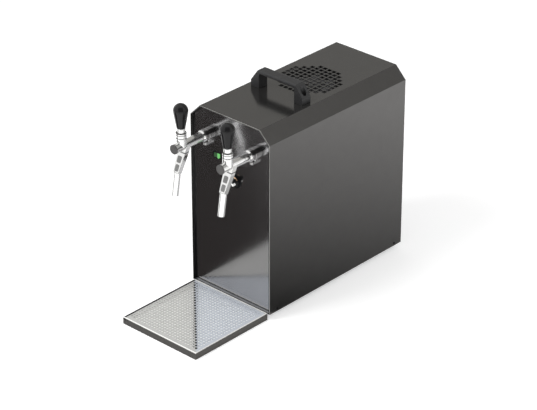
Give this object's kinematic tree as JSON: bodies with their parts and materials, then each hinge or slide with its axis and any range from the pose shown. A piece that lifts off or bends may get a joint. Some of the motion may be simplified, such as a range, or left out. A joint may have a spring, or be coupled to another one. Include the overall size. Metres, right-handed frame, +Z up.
{
  "type": "two-tap draft beer dispenser",
  "caption": "Tall sheet-metal cooler cabinet with slanted top corners, carrying handle, fan grille, two chrome lever taps, thermostat, rocker switch and a loose drip tray.",
  "frame": {"origin": "On the floor, in the middle of the whole dispenser's bounding box.", "axes": "+X to the dispenser's right as seen from the front, +Y from the drip tray to the cabinet's rear, +Z up."},
  "size_m": [0.2224, 0.6452, 0.47],
  "materials": {
    "coated_steel": null,
    "black_steel": null,
    "zinc_steel": null,
    "mirror_steel": null,
    "black_plastic": null,
    "dark_plastic": null,
    "grey_plastic": null,
    "gloss_black": null,
    "rubber": null,
    "bright_steel": null,
    "fin_aluminium": null,
    "cast_aluminium": null,
    "black_enamel": null,
    "copper": null,
    "clear_hose": null,
    "chrome": null,
    "satin_metal": null,
    "green_lens": null,
    "brushed_steel": null,
    "grate_steel": null
  },
  "bodies": {
    "cabinet": {"cover": "coated_steel", "cover_screws": "black_steel", "base_plate": "zinc_steel", "feet": "rubber", "front_panel": "mirror_steel", "rear_panel": "coated_steel", "panel_screws": "zinc_steel", "handle": "black_plastic", "handle_screws": "bright_steel", "support_frame": "zinc_steel", "fan_frame": "black_plastic", "fan_screws": "bright_steel", "fan_shroud": "zinc_steel", "condenser": "fin_aluminium", "compressor": "black_enamel", "compressor_mounts": "rubber", "cold_block": "cast_aluminium", "air_pump": "grey_plastic", "air_outlet": "bright_steel", "discharge_pipe": "copper", "suction_pipe": "copper", "liquid_line": "copper", "beverage_hoses": "clear_hose", "keg_lines": "clear_hose", "inlet_fittings": "chrome", "power_inlet": "black_plastic", "thermostat": "grey_plastic", "thermostat_dial": "dark_plastic", "switch_housing": "dark_plastic", "lock_nuts": "bright_steel", "shank_left": "bright_steel", "sleeve_left": "chrome", "coupling_nut_left": "chrome", "tap_body_left": "chrome", "bonnet_left": "chrome", "spout_left": "chrome", "front_cap_left": "satin_metal", "shank_right": "bright_steel", "sleeve_right": "chrome", "coupling_nut_right": "chrome", "tap_body_right": "chrome", "bonnet_right": "chrome", "spout_right": "chrome", "front_cap_right": "satin_metal"},
    "fan": {"fan_rotor": "grey_plastic"},
    "temperature_knob": {"thermostat_knob": "dark_plastic"},
    "rocker": {"switch_rocker": "green_lens"},
    "tray": {"drip_tray": "brushed_steel"},
    "grate": {"drip_grate": "grate_steel", "grate_frame": "grate_steel"},
    "tap_lever_left": {"lever_left": "chrome", "knob_left": "gloss_black"},
    "valve_left": {"plunger_left": "bright_steel"},
    "flow_lever_left": {"compensator_left": "chrome"},
    "tap_lever_right": {"lever_right": "chrome", "knob_right": "gloss_black"},
    "valve_right": {"plunger_right": "bright_steel"},
    "flow_lever_right": {"compensator_right": "chrome"}
  },
  "joints": [
    {"name": "fan_spin", "type": "hinge", "parent": "cabinet", "child": "fan", "pos_m": [0, 0.13165, 0.4], "axis": [0, 0, 1], "continuous": true},
    {"name": "temperature_turn", "type": "hinge", "parent": "cabinet", "child": "temperature_knob", "pos_m": [0.0105, -0.09835, 0.2885], "axis": [0, 1, 0], "range_deg": [-102, 168]},
    {"name": "rocker_tip", "type": "hinge", "parent": "cabinet", "child": "rocker", "pos_m": [-0.0395, -0.09635, 0.33], "axis": [0, 0, 1], "range_deg": [0, 12]},
    {"name": "tray_pull", "type": "slide", "parent": "cabinet", "child": "tray", "axis": [0, -1, 0], "range_m": [0, 0.12]},
    {"name": "grate_lift", "type": "slide", "parent": "tray", "child": "grate", "axis": [0, 0, 1], "range_m": [0, 0.06]},
    {"name": "tap_left", "type": "hinge", "parent": "cabinet", "child": "tap_lever_left", "pos_m": [-0.0645, -0.18335, 0.402], "axis": [1, 0, 0], "range_deg": [-12, 18]},
    {"name": "valve_left_stroke", "type": "slide", "parent": "cabinet", "child": "valve_left", "axis": [0, 1, 0], "range_m": [-0.0058, 0.0086]},
    {"name": "flow_left", "type": "hinge", "parent": "cabinet", "child": "flow_lever_left", "pos_m": [-0.0645, -0.10585, 0.352], "axis": [0, 0, 1], "range_deg": [-60, 60]},
    {"name": "tap_right", "type": "hinge", "parent": "cabinet", "child": "tap_lever_right", "pos_m": [0.0645, -0.18335, 0.402], "axis": [1, 0, 0], "range_deg": [-12, 18]},
    {"name": "valve_right_stroke", "type": "slide", "parent": "cabinet", "child": "valve_right", "axis": [0, 1, 0], "range_m": [-0.0058, 0.0086]},
    {"name": "flow_right", "type": "hinge", "parent": "cabinet", "child": "flow_lever_right", "pos_m": [0.0645, -0.10585, 0.352], "axis": [0, 0, 1], "range_deg": [-60, 60]}
  ],
  "couplings": [
    {"joint": "valve_left_stroke", "follows": "tap_left", "m_per_rad": 0.026},
    {"joint": "valve_right_stroke", "follows": "tap_right", "m_per_rad": 0.026}
  ]
}
